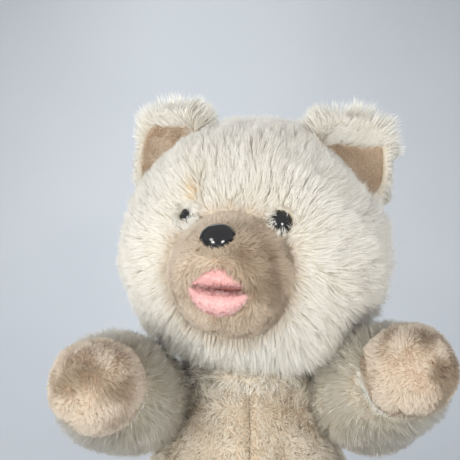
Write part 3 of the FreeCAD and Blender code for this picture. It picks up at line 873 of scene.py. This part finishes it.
def build_lashes(name, middle, axes, count, seed):
    """Pile that grows from the edge of an eye and strays over it."""
    random = np.random.default_rng(seed)
    first, second, out = axes
    turn = random.uniform(0, 2 * math.pi, int(count * PILE_SHARE))
    round_it = np.outer(np.cos(turn), first) + np.outer(np.sin(turn), second)
    roots = middle + round_it * (EYE_RADIUS * random.uniform(0.9, 1.4, len(turn)))[:, None]
    roots += out * random.uniform(2.5, 5.5, len(turn))[:, None] * MM
    comb = -round_it + random.normal(size=roots.shape) * 0.7
    up = np.broadcast_to(out, roots.shape)
    lashes = pile(name + "_eye_pile", roots, up, comb, 6.5 * MM, 0.26 * MM, seed, stand=0, lie=70, clump=0.5,
                  tuft=9)
    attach(dress(lashes, CREAM), "head")


# ---- Ears ---------------------------------------------------------------------------------------
def ear_axes(side):
    face = unit([side * math.sin(EAR_OUTWARD), -math.cos(EAR_OUTWARD), math.tan(EAR_BACKWARD)])
    up = unit(np.array([0, 0, 1]) - face[2] * face)
    axes = (np.cross(face, up) * -1, up, face)
    return [from_head(EAR_AT * [side, 1, 1])] + [HEAD_TURN @ axis for axis in axes]


def build_ears():
    for name, side in (("left", 1), ("right", -1)):
        axes = ear_axes(side)

        def outline(turn):
            return 1 - 0.06 * np.cos(4 * turn) + 0.02 * np.sin(3 * turn + side)

        rim = [(EAR_CUP - 1.5 * MM, 1.5 * MM), (EAR_CUP, 3.6 * MM), (EAR_CUP + 1.6 * MM, 4.6 * MM),
               (EAR_RADIUS - 1.8 * MM, 3.9 * MM), (EAR_RADIUS - 0.4 * MM, 2.0 * MM), (EAR_RADIUS, 0)]
        for angle in np.linspace(0.15, math.pi / 2, 14):
            rim.append((EAR_RADIUS * math.cos(angle), -6.8 * MM * math.sin(angle)))
        shell = polar_skin(name + "_ear_skin", rim, axes, outline=outline)
        cup = [(0, -1.2 * MM)]
        for part in np.linspace(0.1, 1, 12):
            cup.append((EAR_CUP * part, (-1.2 + 4.4 * part ** 2.2) * MM))
        cup += [(EAR_CUP + 0.5 * MM, 1.5 * MM), (0, -4.0 * MM)]
        lining = polar_skin(name + "_ear_lining_skin", cup, axes, outline=outline)
        fur = cover_ear(name, side, axes, outline, shell)
        fringe, nap = line_ear(name, side, axes, lining)
        dress_plush("cream_long_pile", [shell], [fur, fringe])
        dress_plush("tan_short_pile", [lining], [nap])
        ride("head", shell, fur, fringe, lining, nap)
        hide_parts(name + "_ear_back")
        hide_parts(name + "_ear_lining")


def outside_head(points):
    return np.linalg.norm(to_head(points) / HEAD_SIZE, axis=1) > 0.97


def cover_ear(name, side, axes, outline, shell):
    """The long pile on an ear's back and rim: longest at its upper outer corner, short on its outer side."""
    centre, first, second, face = axes

    def on_back(points):
        own = points - centre
        reach = np.hypot(own @ first, own @ second) / outline(np.arctan2(own @ second, own @ first))
        return outside_head(points) & ((reach > EAR_CUP - 0.5 * MM) | (own @ face < 0))

    roots, up = scatter(shell, 3.6, SEED + 70 + side, on_back)
    spread = roots - centre
    flat = spread - (spread @ face)[:, None] * face
    reach = np.linalg.norm(flat, axis=1)
    rim_share = smooth(13 * MM, 20 * MM, reach)
    at_cup = smooth(4.5 * MM, 0, reach - EAR_CUP) * smooth(0, 1.5 * MM, spread @ face)
    comb = unit(flat) + 0.3 * waves(SEED + 72, 14, roots, 3)
    at_top, at_outside = [np.clip(unit(flat) @ way, 0, 1) for way in (second, side * first)]
    uneven = 1 + 0.3 * at_top - 0.45 * at_outside ** 2 + 0.9 * at_top * at_outside
    length = (9 + 3 * rim_share) * (1 - 0.6 * at_cup) * uneven * MM
    return pile(name + "_ear_pile", roots, up, comb, length, 0.26 * MM, SEED + 74 + side, stand=30, lie=60,
                clump=0.5, tuft=22)


def line_ear(name, side, axes, lining):
    """Short tan pile in an ear, and the long cream fringe along the top of it."""
    centre, first, second, face = axes
    roots, up = scatter(lining, 7.0, SEED + 76 + side, outside_head)
    comb = waves(SEED + 78, 12, roots, 3) - 0.6 * second
    facing = (up @ face) > 0.2
    fringe_from = (12 - 3 * side + 1.5 * waves(SEED + 79, 6, roots)) * MM
    fringed = facing & ((roots - centre) @ second > fringe_from)
    facing &= ~fringed
    fringe_comb = second + 0.4 * side * first + 0.3 * comb[fringed]
    fringe = pile(name + "_ear_fringe_pile", roots[fringed], up[fringed], fringe_comb, 9 * MM, 0.24 * MM,
                  SEED + 82 + side, stand=25, lie=70, clump=0.5, tuft=18)
    nap = pile(name + "_ear_lining_pile", roots[facing], up[facing], comb[facing], 1.9 * MM, 0.2 * MM,
               SEED + 80 + side, stand=20, lie=50, clump=0.5, tuft=8, stray=0.4, fade=0.2)
    return fringe, nap


# ---- Arms ---------------------------------------------------------------------------------------
def arm_axes(name):
    along = unit(ARM_AIM[name])
    across = unit(np.cross(along, [0, 0, 1]))
    return [joint_point(name + "_arm_swing"), across, np.cross(across, along), along]


def build_arms():
    for name, seed in (("left", SEED + 100), ("right", SEED + 120)):
        axes = arm_axes(name)
        sleeve, fur = build_sleeve(name, axes, seed)
        paw, nap = build_paw(name, axes, seed + 5)
        dress_plush("cream_long_pile", [sleeve], [fur])
        dress_plush("tan_short_pile", [paw], [nap])
        ride(name + "_arm", sleeve, fur, paw, nap)
        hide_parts(name + "_arm_sleeve")
        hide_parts(name + "_paw_pad")
        build_shoulder(name, axes[0])


def build_sleeve(name, axes, seed):
    """The sleeve, round at the shoulder and drawn in at the wrist, its fluffy pile leaning to the paw."""
    origin, _, _, along = axes
    rows = arc(ARM_RADIUS, -ARM_RADIUS, np.linspace(0, math.pi / 2, 16))
    taper = (ARM_RADIUS - 3.0 * MM) / ARM_RADIUS
    for part in np.linspace(0.08, 1, 12):
        drawn_in = 3.2 * MM * smooth(0.75, 1, part)
        rows.append((ARM_RADIUS * (1 + (taper - 1) * part) - drawn_in, WRIST * part))
    edge = rows[-1][0]
    for inward, forward in ((1.5, 0.3), (3, -1), (6, -3)):
        rows.append((edge - inward * MM, WRIST + forward * MM))
    sleeve = polar_skin(name + "_sleeve_skin", rows, axes)
    points = points_of(sleeve)
    spread = points - origin
    away = unit(spread - (spread @ along)[:, None] * along * 0.9)
    move_points(sleeve, points + away * waves(seed, 34, points)[:, None] * 0.7 * MM)
    roots, up = scatter(sleeve, 2.4, seed + 1, lambda p: ((p - origin) @ along) > -ARM_RADIUS)
    forward = (roots - origin) @ along
    out = unit((roots - origin) - forward[:, None] * along)
    near_wrist = smooth(20 * MM, WRIST, forward)
    comb = along * (0.5 + 1.6 * near_wrist)[:, None] + 0.3 * waves(seed + 2, 25, roots, 3)
    comb = comb + [0, 0, -0.35] - 0.5 * out * smooth(WRIST - 4 * MM, WRIST, forward)[:, None]
    length = (9.5 + waves(seed + 3, 18, roots) + 2.5 * near_wrist) * MM
    fur = pile(name + "_sleeve_pile", roots, up, comb, length, 0.26 * MM, seed + 4, stand=6, lie=40,
               clump=0.45, tuft=30, short=0.3, soften=0.7)
    return sleeve, fur


def build_paw(name, axes, seed):
    """The round paw, with short pile that parts in darker, longer tufts on its front."""
    origin, _, _, along = axes
    ball = arc(PAW_RADIUS, -PAW_RADIUS, np.linspace(0.9, math.pi, 40), PAW_AT)
    ball.insert(0, (0, ball[0][1]))
    paw = polar_skin(name + "_paw_skin", ball, axes)
    points = points_of(paw)
    middle = origin + along * PAW_AT
    move_points(paw, points + unit(points - middle) * waves(seed, 24, points)[:, None] * 0.6 * MM)
    roots, up = scatter(paw, 6.0, seed + 1, lambda p: ((p - origin) @ along) > WRIST - 3 * MM)
    swirl = np.cross(up, along) * 0.6 - along * 0.2
    comb = swirl + 0.9 * waves(seed + 2, 15, roots, 3) + [0.2, 0, -0.4]
    parted = smooth(0.1, 1.0, waves(seed + 5, 24, roots))
    parted = parted * smooth(0.2, 0.7, (roots - middle) @ along / PAW_RADIUS)
    length = (3.2 + 0.9 * waves(seed + 3, 16, roots)) * MM * (1 + 0.5 * parted)
    nap = pile(name + "_paw_pile", roots, up, comb, length, 0.2 * MM, seed + 4, stand=18, lie=52, clump=0.65,
               tuft=18, stray=0.4, stain=0.5 * parted, fade=0.8 * (1 - parted))
    return paw, nap


def build_shoulder(name, origin):
    """The gathered plush between the glove body and the arm."""
    inward = unit(-origin * [1, 1, 0])
    first = unit(np.cross([0, 0, 1], inward))
    axes = (origin, first, np.cross(inward, first), inward)
    rows = arc(28.1 * MM, 28.1 * MM, np.radians(np.arange(24, 40, 2)))
    gather = polar_skin(name + "_shoulder_gather", rows, axes, around=120,
                        outline=lambda turn: 1 + 0.012 * np.sin(24 * turn))
    points = points_of(gather)
    ripple = np.sin(24 * np.arctan2((points - origin) @ axes[2], (points - origin) @ first))
    move_points(gather, points + unit(points - origin) * ripple[:, None] * 0.4 * MM)
    thicken(gather, 1.2 * MM)
    dress(gather, CREAM_BACKING)
    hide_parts(name + "_shoulder_gusset")
    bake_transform(gather)


# ---- Glove body and neck ------------------------------------------------------------------------
def body_radius(height):
    fit = np.polyfit(BODY_PROFILE[:, 1] / MM, BODY_PROFILE[:, 0] / MM, len(BODY_PROFILE) - 1)
    return np.polyval(fit, np.asarray(height) / MM) * MM


def build_body():
    seam = math.asin(SIDE_SEAM_Y / BODY_PROFILE[3][0])
    corners = {"front_left": (-math.pi / 2, seam), "back_left": (seam, math.pi / 2),
               "back_right": (math.pi / 2, math.pi - seam), "front_right": (math.pi - seam, math.pi * 1.5)}
    for number, (name, (start, end)) in enumerate(corners.items()):
        skin = body_panel(name + "_skin", start, end)
        curls = cover_body(name + "_pile", skin, number)
        keep_faces(skin, shoulder_clear)
        thicken(skin, 2.4 * MM)
        dress_plush("cream_short_pile", [skin], [curls])
        ride("body", skin, curls)
        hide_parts(name + "_panel")
    build_hem()


def body_panel(name, start, end):
    """One panel of the glove body, drawn in along its seams and over the hem."""
    columns, rows = 60, 90
    turn = np.linspace(start + 0.003, end - 0.003, columns + 1)
    points = []
    for height in np.linspace(HEM_TOP + 0.4 * MM, BODY_PROFILE[-1][1], rows + 1):
        from_edge = np.minimum(turn - turn[0], turn[-1] - turn) * body_radius(height)
        low = np.minimum(height - HEM_TOP, 4 * MM)
        radius = body_radius(height) - 2.0 * MM * np.exp(-(from_edge / (2.2 * MM)) ** 2)
        radius = radius - 1.4 * MM * math.exp(-(low / (1.2 * MM)) ** 2)
        place = np.stack([np.cos(turn), np.sin(turn), np.full_like(turn, height)], axis=1)
        radius = radius + 0.8 * MM * waves(SEED + 200, 60, place * [0.05, 0.05, 0.6])
        place[:, :2] *= radius[:, None]
        points.append(place)
    return new_mesh(name, np.concatenate(points), tube_grid(columns + 1, rows + 1, closed=False))


def cover_body(name, skin, number):
    """The body's short curly pile, parted at the centre seams and fuller round the neck."""
    top = BODY_PROFILE[-1][1]
    roots, up = scatter(skin, 2.8, SEED + 210 + number, shoulder_clear)
    at_top = smooth(top - 22 * MM, top - 4 * MM, roots[:, 2])
    at_seam = np.exp(-(roots[:, 0] / (5 * MM)) ** 2)
    at_sides = smooth(12 * MM, 22 * MM, np.abs(roots[:, 0]))
    comb = np.array([0, 0, -1.0]) + 0.7 * waves(SEED + 220, 22, roots, 3)
    comb[:, 2] += 1.6 * at_top
    comb[:, 0] += 1.5 * np.sign(roots[:, 0]) * at_seam
    length = 6.0 + waves(SEED + 221, 20, roots) + at_top * (1.5 + 4 * at_sides)
    length = length * (1 - 0.4 * at_seam) * MM
    curls = pile(name, roots, up, comb, length, 0.3 * MM, SEED + 230 + number, stand=18, lie=62, stray=0.45,
                 curl=0.10, turns=1.2, clump=0.55, tuft=20, soften=0.7)
    lift_from_floor(curls)
    return curls


def lift_from_floor(piece, least=0.3 * MM):
    points = points_of(piece)
    points[:, 2] = np.maximum(points[:, 2], least)
    move_points(piece, points)


def shoulder_clear(points):
    """Clear of the finger passages into the arms."""
    clear = np.ones(len(points), bool)
    for name in ("left", "right"):
        origin = joint_point(name + "_arm_swing")
        inward = unit(-origin * [1, 1, 0])
        spread = points - origin
        off = np.linalg.norm(spread - (spread @ inward)[:, None] * inward, axis=1)
        clear &= (off > 10.5 * MM) | (points[:, 0] * origin[0] < 0)
    return clear


def build_hem():
    """The turned-up hem, with a row of stitches round it."""
    outer = BODY_PROFILE[0][0]
    inner = outer - 5.2 * MM
    corner = 1.8 * MM
    rows = []
    for middle_r, middle_z, start in ((outer - corner, corner, -90), (outer - corner, HEM_TOP - corner, 0),
                                      (inner + corner, HEM_TOP - corner, 90), (inner + corner, corner, 180)):
        for angle in range(start, start + 91, 18):
            a = math.radians(angle)
            rows.append((middle_r + corner * math.cos(a), middle_z + corner * math.sin(a)))
    rows.append(rows[0])
    hem = polar_skin("hem_fold", rows, (np.zeros(3), *np.eye(3)), around=240)
    points = points_of(hem)
    pull = waves(SEED + 240, 14, points * [1, 1, 0])
    outside = smooth(outer - 3 * MM, outer, np.hypot(points[:, 0], points[:, 1]))
    points[:, :2] *= (1 + 0.004 * pull * outside)[:, None]
    points[:, 2] = np.maximum(points[:, 2], 0)
    move_points(hem, points)
    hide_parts("hem_band")

    def on_outside(points):
        return (np.hypot(points[:, 0], points[:, 1]) > outer - 2 * MM) & (points[:, 2] > 1 * MM)

    roots, up = scatter(hem, 2.2, SEED + 241, on_outside)
    comb = np.array([0, 0, -1.0]) + 0.7 * waves(SEED + 242, 22, roots, 3)
    curls = pile("hem_pile", roots, up, comb, 4.5 * MM, 0.34 * MM, SEED + 243, stand=30, lie=60, stray=0.5,
                 curl=0.12, turns=1.2, clump=0.6, tuft=20)
    lift_from_floor(curls)
    dress_plush("cream_short_pile", [hem], [curls])
    ride("body", hem, curls)
    stitches = []
    for turn in np.arange(90) / 90 * 2 * math.pi:
        place = np.array([math.cos(turn), math.sin(turn), 0]) * (inner - 0.1 * MM) + [0, 0, 8.5 * MM]
        stitches.append((place, np.array([-math.sin(turn), math.cos(turn), 0]), np.array([0, 0, 1.0])))
    seam = stitch_mesh("hem_stitches", stitches, 2.6 * MM, 0.35 * MM)
    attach(dress(seam, THREAD), "body")


def stitch_mesh(name, stitches, length, radius):
    """Short rounded stitches, each at a place, along a direction, with its side direction."""
    ball, faces = sphere_grid(2)
    points, all_faces = [], []
    for place, along, side in stitches:
        third = np.cross(along, side)
        shape = np.outer(ball[:, 0] * length / 2, along) + np.outer(ball[:, 1] * radius, side)
        shape += np.outer(ball[:, 2] * radius, third)
        all_faces.append(faces + len(points) * len(ball))
        points.append(place + shape)
    return new_mesh(name, np.concatenate(points), np.concatenate(all_faces))


def build_neck():
    """The gathered plush between the glove body and the head."""
    top = BODY_PROFILE[-1][1]
    profile = ((31.2, -1.5), (31.4, 1), (30.6, 3), (28, 6), (25.5, 9), (23.6, 13), (22.8, 18))
    rows = [(radius * MM, top + above * MM) for radius, above in profile]
    gather = polar_skin("neck_gather", rows, (np.zeros(3), *np.eye(3)), around=240)
    points = points_of(gather)
    turn = np.arctan2(points[:, 1], points[:, 0])
    ripple = np.sin(34 * turn + 2 * np.sin(3 * turn)) * smooth(top, top + 8 * MM, points[:, 2])
    points[:, :2] *= (1 + 0.02 * ripple)[:, None]
    move_points(gather, points)
    roots, up = scatter(gather, 2.0, SEED + 251)
    outward = unit(roots * [1, 1, 0])
    up = up * np.sign((up * outward).sum(axis=1, keepdims=True))
    comb = np.array([0, 0, -1.0]) + 0.5 * waves(SEED + 252, 22, roots, 3)
    curls = pile("neck_pile", roots, up, comb, 11.0 * MM, 0.3 * MM, SEED + 253, stand=5, lie=45, stray=0.4,
                 clump=0.45, tuft=16)
    thicken(gather, 1.2 * MM)
    dress_plush("cream_long_pile", [gather], [curls])
    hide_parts("neck_collar")
    ride("neck_ring", gather, curls)


# ---- CAD pieces that keep their shape -----------------------------------------------------------
def dress_cad():
    looks = {"lining_cloth": LINING, "polyester_fill": FILL, "white_plastic": WHITE_PLASTIC,
             "satin_ribbon": RIBBON, "glossy_black": BLACK}
    looks.update({slot: backing for slot, (backing, _) in PLUSH.items()})
    slots = {part["node"]: part["material_slot"] for part in frame["record"]["subparts"]}
    for name, piece in frame["nodes"].items():
        for place in piece.material_slots:
            place.material = looks[slots[name]]


# ---- Stage, lights and camera -------------------------------------------------------------------
def build_stage():
    floor = new_mesh("floor", stage_points(), tube_grid(2, 33, closed=False))
    material, tree, shader, _ = new_material("pale_floor")
    tone = ramp(tree, noise_node(tree, 3, 2), [(0.3, (0.42, 0.45, 0.48)), (0.7, (0.46, 0.49, 0.52))])
    tree.links.new(tone, shader.inputs["Base Color"])
    shader.inputs["Roughness"].default_value = 0.6
    floor.data.materials.append(material)


def stage_points():
    """A floor that curves up into a backdrop behind the puppet."""
    bend, behind = 0.5, 0.9
    line = [(-3.0, 0.0), (behind - bend, 0.0)]
    for angle in np.linspace(0, math.pi / 2, 30):
        line.append((behind - bend + bend * math.sin(angle), bend - bend * math.cos(angle)))
    line.append((behind, 3.0))
    return np.array([(x, y, z) for y, z in line for x in (-4.0, 4.0)])


def area_light(name, place, aim, size, power, colour):
    light = bpy.data.lights.new(name, "AREA")
    light.shape = "DISK"
    light.size = size
    light.energy = power
    light.color = colour
    lamp = bpy.data.objects.new(name, light)
    look(lamp, place, aim)
    bpy.context.scene.collection.objects.link(lamp)


def look(thing, place, aim):
    """Places a lamp or camera so that it looks at a point."""
    ahead = unit(np.subtract(aim, place))
    right = unit(np.cross(ahead, [0, 0, 1]))
    turn = np.stack([right, np.cross(right, ahead), -ahead], axis=1)
    thing.matrix_world = Matrix([[*turn[row], place[row]] for row in range(3)] + [[0, 0, 0, 1]])


def build_lights():
    middle = (0, -0.03, 0.18)
    area_light("key", (-0.78, -0.92, 0.48), (0, -0.05, 0.15), 0.4, 4.2, (1.0, 0.985, 0.95))
    area_light("low_left", (-0.45, -0.75, 0.14), (0, -0.05, 0.08), 0.26, 3.2, (1.0, 0.98, 0.94))
    area_light("low_right", (0.30, -0.80, 0.14), (0, -0.05, 0.06), 0.26, 3.0, (1.0, 0.97, 0.92))
    area_light("back", (-0.1, 0.7, 0.8), middle, 0.5, 5.0, (0.97, 0.98, 1.0))
    world = bpy.data.worlds.new("studio")
    world.use_nodes = True
    background = world.node_tree.nodes["Background"]
    background.inputs["Color"].default_value = (0.95, 0.95, 0.97, 1)
    background.inputs["Strength"].default_value = 0.75
    bpy.context.scene.view_settings.view_transform = "Standard"
    bpy.context.scene.world = world


def build_camera():
    camera = bpy.data.cameras.new("camera")
    camera.lens, camera.sensor_width = 75, 36
    camera.clip_start, camera.clip_end = 0.01, 20
    eye = bpy.data.objects.new("camera", camera)
    bpy.context.scene.collection.objects.link(eye)
    aim = np.array([-10.2, -30, 202]) * MM
    tilt, away = math.radians(5), 498 * MM
    look(eye, aim + np.array([0, -math.cos(tilt), math.sin(tilt)]) * away, aim)
    bpy.context.scene.camera = eye


# ---- Everything ---------------------------------------------------------------------------------
build_camera()
build_lights()
build_stage()
dress_cad()
build_head()
build_muzzle()
build_mouth()
build_nose()
build_eyes()
build_ears()
build_arms()
build_body()
build_neck()
